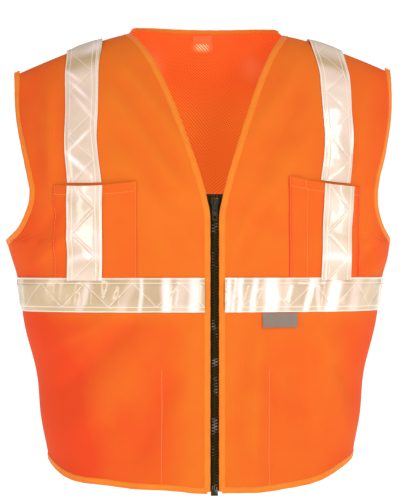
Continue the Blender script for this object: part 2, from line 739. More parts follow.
def sew(name, runs, thickness=0.00060, pitch=STITCH_PITCH, length=STITCH_LENGTH):
    """Copies one stitch along each run of thread, given as its points and normals."""
    stitches = []
    for points, normals in runs:
        so_far = np.concatenate([[0], np.cumsum(np.linalg.norm(np.diff(points, axis=0), axis=1))])
        count = max(int(so_far[-1] / pitch), 1)
        at = (np.arange(count) + 0.5) * so_far[-1] / count

        def sample(values, where):
            return np.stack([np.interp(where, so_far, values[:, k]) for k in range(3)], axis=-1)
        centre = sample(points, at)
        ahead = unit(sample(points, at + 0.0008) - sample(points, at - 0.0008))
        up = square_to(sample(normals, at), ahead)
        beside = np.cross(up, ahead)
        shape = stitch_points * np.array([thickness / 2, length / 2, thickness * 0.4])
        turned = (shape[None, :, 0, None] * beside[:, None] + shape[None, :, 1, None] * ahead[:, None]
                  + shape[None, :, 2, None] * up[:, None])
        stitches.extend(centre[:, None] + turned)
    return piece_of_copies(name, stitches, stitch_faces)


def binding_run(frames):
    """The row of thread through a binding, on its outer side."""
    share = np.linspace(0.002, 0.998, 500)
    point, inner, normal = frames(share)
    height = BINDING_HALF_THICKNESS * 0.66 - KNIT_THICKNESS / 2
    return point + inner * (SEAM_SHARE * BINDING_WIDTH - UNDER_BINDING) + normal * height, normal


def woven_material(name, colour, second_colour, roughness=0.62, cell=0.0009, glow=0.0, sheen=0.15):
    """Woven tape or thread: crossing ribs in two shades, with a fine bump."""
    material, nodes, links, shader = start_material(name, "woven yarn")
    set_sockets(shader, {"Roughness": roughness, "Sheen Weight": sheen, "Specular IOR Level": 0.15})
    place = nodes.new("ShaderNodeTexCoord")
    place.label = "place on the tape"
    weave = nodes.new("NodeFrame")
    weave.label = "weave"
    heights = []
    for direction in ("X", "Y"):
        rib = nodes.new("ShaderNodeTexWave")
        rib.label = f"ribs along {direction}"
        rib.bands_direction = direction
        rib.inputs["Scale"].default_value = 0.314 / cell
        links.new(place.outputs["UV"], rib.inputs["Vector"])
        heights.append(rib)
    cross = nodes.new("ShaderNodeMath")
    cross.label = "crossing ribs"
    cross.operation = "MULTIPLY"
    links.new(heights[0].outputs["Fac"], cross.inputs[0])
    links.new(heights[1].outputs["Fac"], cross.inputs[1])
    bump = nodes.new("ShaderNodeBump")
    bump.label = "yarn height"
    set_sockets(bump, {"Strength": 0.35, "Distance": 0.0003})
    links.new(cross.outputs[0], bump.inputs["Height"])
    links.new(bump.outputs["Normal"], shader.inputs["Normal"])
    gather(weave, nodes)
    dye = nodes.new("NodeFrame")
    dye.label = "dye"
    cloud = nodes.new("ShaderNodeTexNoise")
    cloud.label = "uneven dye"
    cloud.inputs["Scale"].default_value = 60
    links.new(place.outputs["Object"], cloud.inputs["Vector"])
    share = nodes.new("ShaderNodeMath")
    share.label = "weave and cloud"
    share.operation = "MULTIPLY_ADD"
    share.inputs[1].default_value = 0.6
    links.new(cross.outputs[0], share.inputs[0])
    links.new(cloud.outputs["Fac"], share.inputs[2])
    spread = nodes.new("ShaderNodeMapRange")
    spread.label = "to a share"
    set_sockets(spread, {"From Min": 0.3, "From Max": 1.1})
    links.new(share.outputs[0], spread.inputs["Value"])
    shade = nodes.new("ShaderNodeMix")
    shade.label = "two shades of yarn"
    shade.data_type = "RGBA"
    set_sockets(shade, {6: (*second_colour, 1), 7: (*colour, 1)})
    links.new(spread.outputs["Result"], shade.inputs[0])
    links.new(shade.outputs[2], shader.inputs["Base Color"])
    gather(dye, nodes)
    if glow:
        set_sockets(shader, {"Emission Color": (*colour, 1), "Emission Strength": glow})
    set_out(nodes)
    return material


binding_cloth = woven_material("binding", (0.70, 0.198, 0.0095), (0.68, 0.142, 0.007), glow=0.10)
orange_thread = woven_material("orange_thread", (0.98, 0.42, 0.15), (0.95, 0.32, 0.09),
                               cell=THREAD_CELL, glow=0.08)


def finish(piece, material, side=None, replaces=()):
    """Gives a piece its finish and the body it hangs on: the back, or a front that bends."""
    piece.data.materials.append(material)
    if side is None:
        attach(piece, "back")
    else:
        bend_with_front(piece, side)
    if replaces:
        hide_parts(*replaces)


def share_at_height(place, s, height):
    """How far up a panel's edge a height lies."""
    t = np.linspace(0, 1, 600)
    return float(np.interp(height, place(np.full_like(t, s), t)[:, 2], t))


for side in (-1, 1):
    place = front_panel_place(side)
    hand = HAND[side]
    zip_s, arm_s = (0.0, 1.0) if side > 0 else (1.0, 0.0)
    to_arm = arm_s - zip_s
    armpit_t = share_at_height(place, arm_s, ARMPIT_Z - 0.004)
    edges = {
        "edge": panel_edge(place, (zip_s, 0.0), (zip_s, 1.0), (to_arm, 0)),
        "armhole": panel_edge(place, (arm_s, armpit_t), (arm_s, 1.0), (-to_arm, 0)),
        "hem": panel_edge(place, (zip_s + to_arm * 0.004, 0.0), (arm_s, 0.0), (0, 1)),
    }
    for part, frames in edges.items():
        trim = bind_edge(f"{hand}_front_{part}_tape", frames, ARMHOLE_TIP_RISE if part == "armhole" else 0.0)
        finish(trim, binding_cloth, side, [f"{hand}_front_{part}_binding"])
    thread = sew(f"{hand}_front_binding_thread", [binding_run(frames) for frames in edges.values()])
    finish(thread, orange_thread, side)

neck_turn = math.asin(NECK_HALF / half_width(NECK_Z))
shoulder_turn = math.asin(SHOULDER_HALF / half_width(SHOULDER_Z))
nape_s = 0.5 * (1 - neck_turn / shoulder_turn)
back_edges = {
    "back_neck": panel_edge(back_panel_place, (nape_s, 1.0), (1 - nape_s, 1.0), (0, -1)),
    "back_hem": panel_edge(back_panel_place, (0.0, 0.0), (1.0, 0.0), (0, 1)),
}
for side in (-1, 1):
    arm_s = 0.0 if side > 0 else 1.0
    armpit_t = share_at_height(back_panel_place, arm_s, ARMPIT_Z - 0.004)
    run = panel_edge(back_panel_place, (arm_s, armpit_t), (arm_s, 1.0), (1 - 2 * arm_s, 0))
    back_edges[f"{HAND[side]}_back_armhole"] = run
for part, frames in back_edges.items():
    width = BACK_NECK_BINDING if part == "back_neck" else BINDING_WIDTH
    trim = bind_edge(f"{part}_tape", frames, width=width)
    finish(trim, binding_cloth, None, [f"{part}_binding"])
back_thread = sew("back_binding_thread", [binding_run(frames) for frames in back_edges.values()])
finish(back_thread, orange_thread)


# ------------------------------------------------------------------ chest pockets
# Two patches of the same knit, sewn on at their sides and held at the foot under the waist tape.
# Each has a turned hem at its slack mouth, and the wearer's left one has a pen slot sewn off.
POCKET_INNER = 0.112
POCKET_OUTER = 0.228
POCKET_FOOT = 0.312
POCKET_HEM = 0.014
POCKET_SLACK = 0.0065
POCKET_THICKNESS = 0.0008
PEN_LINE = 0.140
MOUTH = {-1: (0.461, 0.456), 1: (0.470, 0.455)}     # mouth height at its inner and outer corner


def mouth_height(side, x):
    share = np.clip((np.abs(x) - POCKET_INNER) / (POCKET_OUTER - POCKET_INNER), 0, 1)
    inner, outer = MOUTH[side]
    return mix(inner, outer, share) - 0.0035 * np.sin(math.pi * share)


def pocket_stand(side, x, z):
    """How far a pocket stands off the front: flat along its seams, slack at its mouth."""
    across = np.clip((np.abs(x) - POCKET_INNER) / (POCKET_OUTER - POCKET_INNER), 0, 1)
    up = np.clip((z - POCKET_FOOT) / (mouth_height(side, x) - POCKET_FOOT), 0, 1)
    slack = POCKET_SLACK * np.sin(math.pi * across) ** 0.7 * up ** 1.6
    if side > 0:
        slack = slack * (1 - 0.75 * np.exp(-((np.abs(x) - PEN_LINE) / 0.008) ** 2))
    crease = 0.0010 * np.sin(across * 9 + z * 30) * np.sin(math.pi * across) * up
    return 0.0010 + slack + crease


def pocket_surface(side, x, z, extra=0.0):
    angle = angle_at(x, z)
    return raised(front_surface(side * angle, z), side * angle, pocket_stand(side, x, z) + extra)


def pocket_depth_rule(x, z):
    """As the front under it, a little deeper, and deepest in the creases along its sides."""
    inner = np.exp(-((np.abs(x) - POCKET_INNER) / 0.0022) ** 2)
    outer = np.exp(-((np.abs(x + 0.008) - POCKET_OUTER) / 0.0030) ** 2)
    return front_depth_rule(x, z) + 0.18 + 0.55 * inner + 0.30 * outer


def pocket_place(side):
    def place(s, t):
        share = share_outwards(s, side)
        x = mix(POCKET_INNER, POCKET_OUTER, share)
        z = mix(POCKET_FOOT, mouth_height(side, x), t)
        return pocket_surface(side, x, z)
    return place


def mouth_lift(s, t, u, v):
    """The turned hem at the mouth is thicker."""
    return 0.0005 * smooth((t - 0.9) / 0.01)


def on_sheet(place, s, t, off=0.0004):
    """A run of thread over a placed sheet, between two shares each way."""
    share = np.linspace(0, 1, 160)
    s, t = mix(s[0], s[1], share), mix(t[0], t[1], share)
    normals = normals_of(place, s, t)
    return place(s, t) + normals * off, normals


for side in (-1, 1):
    hand = HAND[side]
    place = pocket_place(side)
    pocket = drape(f"{hand}_pocket_cloth", place, 48, 56, lift=mouth_lift)
    thicken(pocket, POCKET_THICKNESS)
    mark(pocket, "depth", pocket_depth_rule)
    finish(pocket, front_knit, side, [f"{hand}_chest_pocket"])
    hem_t = 1 - (POCKET_HEM / (MOUTH[side][0] - POCKET_FOOT))
    runs = [
        on_sheet(place, (0.016, 0.016), (0, 0.995)),
        on_sheet(place, (0.984, 0.984), (0, 0.995)),
        on_sheet(place, (0.02, 0.98), (hem_t, hem_t), off=0.0006),
    ]
    if side > 0:
        pen_s = (PEN_LINE - POCKET_INNER) / (POCKET_OUTER - POCKET_INNER)
        runs.append(on_sheet(place, (pen_s, pen_s), (0, hem_t)))
        runs.append(on_sheet(place, (pen_s - 0.022, pen_s - 0.022), (hem_t, 0.995), off=0.0006))
    thread = sew(f"{hand}_pocket_thread", runs)
    finish(thread, orange_thread, side)


# ------------------------------------------------------------------ inner pockets
# A wide patch of the same knit sewn inside each front, down to the hem. From outside only the
# line of thread along its inner side shows, and its open mouth is behind the front.
INNER_POCKET_TOP = 0.185
INNER_POCKET_X = {-1: 0.077, 1: 0.083}
INNER_POCKET_END = math.pi / 2 - 0.20      # just short of the side seam
pale_thread = woven_material("pale_thread", (0.98, 0.52, 0.36), (0.96, 0.40, 0.22), cell=THREAD_CELL)

for side in (-1, 1):
    hand = HAND[side]

    def place(s, t):
        share = share_outwards(s, side)
        x = 0.15
        for _ in range(6):
            z = mix(hem_height(side * x) + 0.008, INNER_POCKET_TOP, t)
            angle = mix(angle_at(INNER_POCKET_X[side], z), INNER_POCKET_END, share)
            x = half_width(z) * np.sin(angle)
        inside = -0.0028 - 0.0025 * np.sin(math.pi * share) * t
        return raised(front_surface(side * angle, z), side * angle, inside)
    patch = drape(f"{hand}_inner_pocket_cloth", place, 50, 50)
    thicken(patch, KNIT_THICKNESS)
    mark(patch, "depth", lambda x, z: 0.4 + 0 * x)
    finish(patch, front_knit, side, [f"{hand}_inner_pocket"])
    z = np.linspace(0.010, INNER_POCKET_TOP, 120)
    angle = side * angle_at(np.full_like(z, INNER_POCKET_X[side]), z)
    outward = np.stack([np.sin(angle), -np.cos(angle), np.zeros_like(z)], axis=-1)
    seam = (raised(front_surface(angle, z), angle, np.full_like(z, 0.0002)), outward)
    thread = sew(f"{hand}_inner_pocket_thread", [seam], thickness=0.0007, pitch=0.0042)
    finish(thread, pale_thread, side)


# ------------------------------------------------------------------ reflective tapes
# Clear ribbed vinyl over a white backing, 2 in wide. Welded lines run inside both edges and
# zigzag between them, so it lies in shallow pillows. It is sewn on along both edges.
TAPE_WIDTH = 0.0508
TAPE_LIFT = 0.0013
TAPE_THICKNESS = 0.0007
WELD_INSET = 0.0078
ZIGZAG_RUN = TAPE_WIDTH - 2 * WELD_INSET
# Each straight weld: its distance from the tape's edge, half width, and how strongly it shows.
WELD_LINES = {"inner weld": (WELD_INSET, 0.0008, 0.75), "edge weld": (0.0013, 0.0010, 0.85)}
WAIST_LOW = 0.2690
WAIST_HIGH = 0.3198
TAPE_ZIP_END = 0.0148
TAPE_INNER_LOW = 0.161
TAPE_INNER_HIGH = 0.155
TAPE_SWING = 0.0115        # how far a tape over the shoulder swings outwards at the chest
TAPE_IN_VIEW = 0.95        # its width measured straight across, as it lies on a curve
TAPE_SEAM = 0.028          # the rows of thread, as a share of the width in from each edge
SHOULDER_STAND = 0.0026
PILLOW = 0.0005
WELD_DEPTH = 0.00045


def zigzag(v):
    """Height of the welded zigzag across the tape, at a distance v along it."""
    fold = np.mod(v, 2 * ZIGZAG_RUN)
    return WELD_INSET + np.minimum(fold, 2 * ZIGZAG_RUN - fold)


def tape_lift(wave, phase, over_shoulder):
    """Pillows between the weld lines, and slow waves along the tape that catch the light.

    A tape that goes over the shoulder is too stiff for the turn, and stands proud there.
    """
    def lift(s, t, u, v):
        weld = np.exp(-((u - zigzag(v)) / 0.0018) ** 2)
        for line in (WELD_INSET, TAPE_WIDTH - WELD_INSET):
            weld = np.maximum(weld, np.exp(-((u - line) / 0.0010) ** 2))
        body = smooth(np.minimum(u, TAPE_WIDTH - u) / 0.012)
        slow = np.sin(v * 128 + phase + 1.6 * np.sin(v * 37)) + 0.5 * np.sin(v * 270 + 2 * phase + u * 40)
        proud = SHOULDER_STAND * smooth((t - 0.84) / 0.12) * over_shoulder
        return TAPE_LIFT + proud + body * (PILLOW + wave * (1.5 + slow)) - WELD_DEPTH * weld * body
    return lift


def tape_rows(t, foot, top):
    return row_height(t, foot, top, below=0.52)


def tape_x(share, z):
    inner = mix(TAPE_INNER_LOW, TAPE_INNER_HIGH, smooth((z - 0.46) / 0.16))
    swing = TAPE_SWING * smooth((z - 0.44) / 0.10) * smooth((0.70 - z) / 0.08)
    return inner + swing + share * TAPE_WIDTH * TAPE_IN_VIEW


def chest_tape_place(side):
    def place(s, t):
        share = share_outwards(s, side)
        x = tape_x(share, 0.5)
        for _ in range(8):
            z = tape_rows(t, mouth_height(side, x) + 0.004, shoulder_height(side * x))
            x = tape_x(share, z)
        return front_surface(side * angle_at(x, z), z)
    return place


def pocket_tape_place(side):
    def place(s, t):
        share = share_outwards(s, side)
        x = tape_x(share, 0.4) + 0.003 * t * side
        z = mix(WAIST_HIGH - 0.004, mouth_height(side, x) - 0.0005, t)
        return pocket_surface(side, x, z, 0.0006)
    return place


def waist_tape_place(side):
    def place(s, t):
        z = mix(WAIST_LOW, WAIST_HIGH, s)
        share = 1 - t if side > 0 else t
        return front_surface(side * mix(angle_at(TAPE_ZIP_END, z), math.pi / 2, share), z)
    return place


def back_waist_place(s, t):
    return back_surface((2 * t - 1) * math.pi / 2, mix(WAIST_LOW, WAIST_HIGH, s))


def back_tape_place(side):
    def place(s, t):
        share = 1 - s if side > 0 else s
        x = tape_x(share, 0.5)
        for _ in range(8):
            z = row_height(t, WAIST_HIGH - 0.002, back_top_height(side * x), below=0.66)
            x = tape_x(share, z)
        return back_surface(side * angle_at(x, z), z)
    return place


def vinyl_material(name):
    """Clear vinyl with a milky backing, welded lines and a coat that takes hard glints."""
    material, nodes, links, shader = start_material(name, "clear vinyl on a pale backing")
    set_sockets(shader, {"Coat Weight": 0.7, "Coat Roughness": 0.06, "Specular IOR Level": 0.4})
    place = nodes.new("ShaderNodeTexCoord")
    place.label = "place on the tape"
    parts = nodes.new("ShaderNodeSeparateXYZ")
    parts.label = "across and along"
    links.new(place.outputs["UV"], parts.inputs[0])

    welds = nodes.new("NodeFrame")
    welds.label = "welded lines"
    from_edge = nodes.new("ShaderNodeMath")
    from_edge.label = "distance from the near edge"
    from_edge.operation = "PINGPONG"
    from_edge.inputs[1].default_value = TAPE_WIDTH / 2
    links.new(parts.outputs["X"], from_edge.inputs[0])
    zig = nodes.new("ShaderNodeMath")
    zig.label = "zigzag along the tape"
    zig.operation = "PINGPONG"
    zig.inputs[1].default_value = ZIGZAG_RUN
    links.new(parts.outputs["Y"], zig.inputs[0])
    across = nodes.new("ShaderNodeMath")
    across.label = "across, less the inset"
    across.operation = "SUBTRACT"
    across.inputs[1].default_value = WELD_INSET
    links.new(parts.outputs["X"], across.inputs[0])
    offsets = []
    off_zig = nodes.new("ShaderNodeMath")
    off_zig.label = "off the zigzag"
    off_zig.operation = "SUBTRACT"
    links.new(across.outputs[0], off_zig.inputs[0])
    links.new(zig.outputs[0], off_zig.inputs[1])
    offsets.append((off_zig, 0.0009, 0.65))
    for label, (inset, half, strength) in WELD_LINES.items():
        off_line = nodes.new("ShaderNodeMath")
        off_line.label = f"off the {label}"
        off_line.operation = "SUBTRACT"
        off_line.inputs[1].default_value = inset
        links.new(from_edge.outputs[0], off_line.inputs[0])
        offsets.append((off_line, half, strength))
    total = None
    for offset, half, strength in offsets:
        away = nodes.new("ShaderNodeMath")
        away.label = "distance off the line"
        away.operation = "ABSOLUTE"
        links.new(offset.outputs[0], away.inputs[0])
        line = nodes.new("ShaderNodeMapRange")
        line.label = "soft line"
        set_sockets(line, {"From Min": half * 0.45, "From Max": half, "To Min": strength,
                           "To Max": 0.0})
        links.new(away.outputs[0], line.inputs["Value"])
        if total is None:
            total = line.outputs["Result"]
            continue
        both = nodes.new("ShaderNodeMath")
        both.label = "either line"
        both.operation = "MAXIMUM"
        links.new(total, both.inputs[0])
        links.new(line.outputs["Result"], both.inputs[1])
        total = both.outputs[0]
    gather(welds, nodes)

    backing = nodes.new("NodeFrame")
    backing.label = "backing"
    milk = nodes.new("ShaderNodeTexNoise")
    milk.label = "milky backing"
    set_sockets(milk, {"Scale": 22, "Detail": 3})
    links.new(place.outputs["Object"], milk.inputs["Vector"])
    tone = nodes.new("ShaderNodeMapRange")
    tone.label = "milk to a share"
    set_sockets(tone, {"From Min": 0.38, "From Max": 0.66})
    links.new(milk.outputs["Fac"], tone.inputs["Value"])
    ground = nodes.new("ShaderNodeMix")
    ground.label = "buff to pale buff"
    ground.data_type = "RGBA"
    set_sockets(ground, {6: (0.46, 0.318, 0.168, 1), 7: (0.55, 0.395, 0.228, 1)})
    links.new(tone.outputs["Result"], ground.inputs[0])
    gleam = nodes.new("ShaderNodeAttribute")
    gleam.label = "how far the prisms light up"
    gleam.attribute_name = "gleam"
    bright = nodes.new("ShaderNodeMix")
    bright.label = "prisms lit"
    bright.data_type = "RGBA"
    bright.inputs[7].default_value = (0.96, 0.78, 0.73, 1)
    links.new(gleam.outputs["Fac"], bright.inputs[0])
    links.new(ground.outputs[2], bright.inputs[6])
    lined = nodes.new("ShaderNodeMix")
    lined.label = "white where it is welded"
    lined.data_type = "RGBA"
    lined.inputs[7].default_value = (0.86, 0.73, 0.64, 1)
    links.new(total, lined.inputs[0])
    links.new(bright.outputs[2], lined.inputs[6])
    links.new(lined.outputs[2], shader.inputs["Base Color"])
    dull = nodes.new("ShaderNodeMapRange")
    dull.label = "duller on the welds"
    set_sockets(dull, {"To Min": 0.22, "To Max": 0.5})
    links.new(total, dull.inputs["Value"])
    links.new(dull.outputs["Result"], shader.inputs["Roughness"])
    gather(backing, nodes)

    prisms = nodes.new("NodeFrame")
    prisms.label = "prism texture"
    cells = nodes.new("ShaderNodeTexVoronoi")
    cells.label = "rows of small prisms"
    set_sockets(cells, {"Scale": 700, "Randomness": 0.15})
    links.new(place.outputs["UV"], cells.inputs["Vector"])
    relief = nodes.new("ShaderNodeMath")
    relief.label = "prisms and welds"
    relief.operation = "MULTIPLY_ADD"
    relief.inputs[1].default_value = 0.12
    links.new(cells.outputs["Distance"], relief.inputs[0])
    links.new(total, relief.inputs[2])
    bump = nodes.new("ShaderNodeBump")
    bump.label = "raised welds"
    set_sockets(bump, {"Strength": 0.35, "Distance": 0.0004})
    links.new(relief.outputs[0], bump.inputs["Height"])
    links.new(bump.outputs["Normal"], shader.inputs["Normal"])
    gather(prisms, nodes)
    set_out(nodes)
    return material


vinyl = vinyl_material("reflective_vinyl")
white_thread = woven_material("white_thread", (0.95, 0.84, 0.76), (0.88, 0.72, 0.62), cell=THREAD_CELL)


# Each streak where the waist tape lights up: its place and half width along the tape, how bright
# it is, and how far it leans over the tape's width.
STREAKS = [
    (-0.190, 0.0050, 0.35, 0.30),
    (-0.108, 0.0022, 0.75, 0.05),
    (-0.128, 0.0060, 0.25, 0.40),
    (-0.071, 0.0056, 1.00, 0.02),
    (-0.050, 0.0080, 0.40, 0.10),
    (-0.030, 0.0070, 0.95, 0.04),
    (0.0205, 0.0024, 0.90, 0.06),
    (0.0285, 0.0020, 0.70, 0.10),
    (0.0375, 0.0030, 0.95, 0.06),
    (0.0580, 0.0036, 0.90, 0.12),
    (0.0844, 0.0092, 0.95, 0.02),
    (0.1080, 0.0050, 0.30, 0.10),
    (0.1417, 0.0034, 0.85, 0.22),
    (0.1550, 0.0026, 0.50, -0.10),
    (0.1800, 0.0082, 0.95, 0.24),
    (0.2150, 0.0070, 0.35, 0.20),
]
# Each crease where the wearer's right chest tape lights up: its height and place, half width, how
# bright it is, and how steeply it runs over the tape.
CREASES = [
    (0.666, -0.172, 0.0060, 0.40, 0.6),
    (0.622, -0.208, 0.0030, 0.55, -0.8),
    (0.597, -0.196, 0.0035, 0.60, -1.0),
    (0.568, -0.188, 0.0030, 0.45, -1.2),
    (0.523, -0.196, 0.0030, 0.70, 1.0),
    (0.489, -0.202, 0.0045, 0.90, -0.9),
]
CREASE_REACH = 0.014


def waist_gleam(x, z):
    total = 0.03 + 0.12 * smooth(x / 0.03) + 0 * z
    for at, half, strength, lean in STREAKS:
        waver = 0.0006 * np.sin(z * 130 + at * 400)
        total += strength * np.exp(-(np.abs(x - at - lean * (z - 0.294) - waver) / (1.25 * half)) ** 3)
    return np.clip(total, 0, 1)


def chest_gleam(x, z):
    right = 0.38 + 0 * z
    for height, at, half, strength, slope in CREASES:
        across = (z - height - slope * (x - at)) / half
        right += strength * np.exp(-across ** 2 - ((x - at) / CREASE_REACH) ** 2)
    left = 0.40 + 0.12 * np.exp(-((z - 0.58) / 0.05) ** 2)
    fold = 0.45 * np.exp(-((z - 0.645 - 0.25 * (0.18 - np.abs(x))) / 0.010) ** 2)
    return np.clip(np.where(x < 0, right, left) - fold, 0, 1)


def pocket_gleam(x, z):
    bow = 0.35 * np.exp(-((z - 0.352 + 9 * (np.abs(x) - 0.183) ** 2) / 0.006) ** 2)
    return np.clip(np.where(x < 0, 0.36, 0.38) + bow + 0.12 * np.sin(z * 90 + x * 40), 0, 1)


def even_gleam(x, z):
    return 0.28 + 0.08 * np.sin(x * 70 + z * 25)


def lay_tape(name, place, length, side, wave, phase, gleam):
    """One tape with a row of thread along each edge. It bends with a front, or side is None."""
    over_shoulder = "chest" in name or name.endswith("_back")
    across, along = 34, int(length / 0.0016)
    piece = drape(f"{name}_vinyl", place, across, along, lift=tape_lift(wave, phase, over_shoulder))
    thicken(piece, TAPE_THICKNESS)
    mark(piece, "gleam", gleam)
    finish(piece, vinyl, side, [f"{name}_tape"])
    edges = (TAPE_SEAM, 1 - TAPE_SEAM)
    runs = [on_sheet(place, (edge, edge), (0.004, 0.996), off=TAPE_LIFT + 0.0001) for edge in edges]
    thread = sew(f"{name}_vinyl_thread", runs)
    finish(thread, white_thread, side)


for side in (-1, 1):
    chest_wave = 0.0002 if side > 0 else 0.0004
    tapes = [
        ("chest", chest_tape_place, 0.245, side, chest_wave, 1.1 * side, chest_gleam),
        ("pocket", pocket_tape_place, 0.145, side, 0.0002, 2.0, pocket_gleam),
        ("waist", waist_tape_place, 0.320, side, 0.0007, 0.4 * side, waist_gleam),
        ("back", back_tape_place, 0.375, None, 0.0003, 0.7, even_gleam),
    ]
    for part, place_on, length, front, wave, phase, gleam in tapes:
        lay_tape(f"{HAND[side]}_{part}", place_on(side), length, front, wave, phase, gleam)
lay_tape("back_waist", back_waist_place, 0.640, None, 0.0003, 2.2, even_gleam)


# ------------------------------------------------------------------ zip
# A coarse moulded open-end zip in black. Each side is a woven tape with a bead along its edge and
# a row of moulded teeth on it. The tapes are sewn behind the front edges and flare out on top.
ZIP_TAPE_TOP = 0.4425
ZIP_TAPE_FOOT = 0.0068
TOOTH_PITCH = 0.0045
CHAIN_Y = -0.1150
CHAIN_FOOT = 0.0145
CHAIN_TOP = 0.4325
TOOTH_FORWARD = 0.0004     # the teeth stand this much before the tape's edge
ZIP_TAPE_THICKNESS = 0.0006
BEHIND_BINDING = 0.0075    # how far the zip's tape goes under the front edge

zip_cloth = woven_material("zip_cloth", (0.024, 0.014, 0.003), (0.012, 0.008, 0.002),
                           roughness=0.9, sheen=0.0)


def plastic_material(name):
    """Black moulded acetal, with scuffs, and a shine on the lengths that are rubbed most."""
    material, nodes, links, shader = start_material(name, "moulded acetal")
    set_sockets(shader, {"Roughness": 0.20, "Specular IOR Level": 0.24,
                         "Specular Tint": (1.0, 0.82, 0.45, 1)})
    place = nodes.new("ShaderNodeTexCoord")
    place.label = "place on the zip"
    grain = nodes.new("ShaderNodeTexNoise")
    grain.label = "scuffs and moulding marks"
    grain.inputs["Scale"].default_value = 900
    links.new(place.outputs["Object"], grain.inputs["Vector"])
    shade = nodes.new("ShaderNodeMix")
    shade.label = "black to olive black"
    shade.data_type = "RGBA"
    set_sockets(shade, {6: (0.007, 0.005, 0.001, 1), 7: (0.022, 0.015, 0.003, 1)})
    links.new(grain.outputs["Fac"], shade.inputs[0])
    links.new(shade.outputs[2], shader.inputs["Base Color"])
    bump = nodes.new("ShaderNodeBump")
    bump.label = "fine grain"
    set_sockets(bump, {"Strength": 0.1, "Distance": 0.0002})
    links.new(grain.outputs["Fac"], bump.inputs["Height"])
    links.new(bump.outputs["Normal"], shader.inputs["Normal"])
    patches = nodes.new("ShaderNodeTexNoise")
    patches.label = "rubbed lengths of the chain"
    patches.inputs["Scale"].default_value = 34
    links.new(place.outputs["Object"], patches.inputs["Vector"])
    gloss = nodes.new("ShaderNodeMapRange")
    gloss.label = "gloss where rubbed"
    set_sockets(gloss, {"From Min": 0.54, "From Max": 0.66})
    links.new(patches.outputs["Fac"], gloss.inputs["Value"])
    links.new(gloss.outputs["Result"], shader.inputs["Coat Weight"])
    set_sockets(shader, {"Coat Roughness": 0.10, "Coat IOR": 2.2})
    set_out(nodes)
    return material


black_plastic = plastic_material("zip_plastic")


def pick_faces(piece, rule):
    """Goes into edit mode with just the faces that pass the rule."""
    bpy.context.view_layer.objects.active = piece
    bpy.ops.object.mode_set(mode="EDIT")
    bpy.ops.mesh.select_mode(type="FACE")
    bpy.ops.mesh.select_all(action="DESELECT")
    bpy.ops.object.mode_set(mode="OBJECT")
    for face in piece.data.polygons:
        face.select = bool(rule(face))
    bpy.ops.object.mode_set(mode="EDIT")


bpy.ops.object.select_all(action="DESELECT")
bpy.ops.mesh.primitive_cube_add(size=1)
one_tooth = bpy.context.object
bpy.ops.object.mode_set(mode="EDIT")
bpy.ops.transform.resize(value=(0.0024, 0.0034, 0.0026))
bpy.ops.transform.translate(value=(0.0031, 0, 0))
bpy.ops.object.mode_set(mode="OBJECT")
pick_faces(one_tooth, lambda face: face.normal.x < -0.9)
for reach, resize in ((0.0013, (1, 0.8, 0.62)), (0.0012, (1, 1.15, 1.9)), (0.0008, (1, 0.7, 0.55))):
    bpy.ops.mesh.extrude_region_move(TRANSFORM_OT_translate={"value": (-reach, 0, 0)})
    bpy.ops.transform.resize(value=resize)
bpy.ops.object.mode_set(mode="OBJECT")
rounding = one_tooth.modifiers.new("rounding", "BEVEL")
rounding.width = 0.00045
rounding.segments = 1
bpy.ops.object.modifier_apply(modifier=rounding.name)
tooth_points, tooth_faces = take_shape(one_tooth)


def zip_tape_place(side):
    def place(s, t):
        share = share_outwards(s, side)
        z = mix(ZIP_TAPE_FOOT, ZIP_TAPE_TOP, t)
        x = mix(0.0001, neck_edge(z) + BEHIND_BINDING, share)
        y = CHAIN_Y + 0.0012 - 0.0018 * share
        return np.stack([side * x, y + 0.0004 * np.sin(z * 300) * share, z], axis=-1)
    return place


for side in (-1, 1):
    hand = HAND[side]
    zip_tape = drape(f"{hand}_zip_weave", zip_tape_place(side), 10, 220)
    thicken(zip_tape, ZIP_TAPE_THICKNESS, offset=0)
    finish(zip_tape, zip_cloth, side, [f"{hand}_zip_tape"])
    start = CHAIN_FOOT + (TOOTH_PITCH / 2 if side > 0 else 0)
    heights = np.arange(start, CHAIN_TOP, TOOTH_PITCH)
    copies = [tooth_points * (side, 1, 1) + (0, CHAIN_Y - TOOTH_FORWARD, z) for z in heights]
    teeth = piece_of_copies(f"{hand}_teeth", copies, [face[::side] for face in tooth_faces])
    finish(teeth, black_plastic, side, [f"{hand}_zip_teeth"])

for node in ("left_top_stop", "right_top_stop", "insertion_pin", "retaining_pin", "retaining_box"):
    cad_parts[node].data.materials.clear()
    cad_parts[node].data.materials.append(black_plastic)


# ------------------------------------------------------------------ slider and pull
# A die-cast slider in black enamel: two plates joined by a post, turned in at their sides, with a
# bridge on the face. A plain pull with a raised rim hangs from the bridge by its crossbar.
SLIDER_LOW, SLIDER_HIGH = (Vector(corner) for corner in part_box("slider_body"))
PULL_LOW, PULL_HIGH = (Vector(corner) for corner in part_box("pull_tab"))
BRIDGE_RISE = 0.0047
PLATE = 0.0012
FACE_Y = SLIDER_LOW.y + BRIDGE_RISE
SLIDER_FOOT = SLIDER_LOW.z


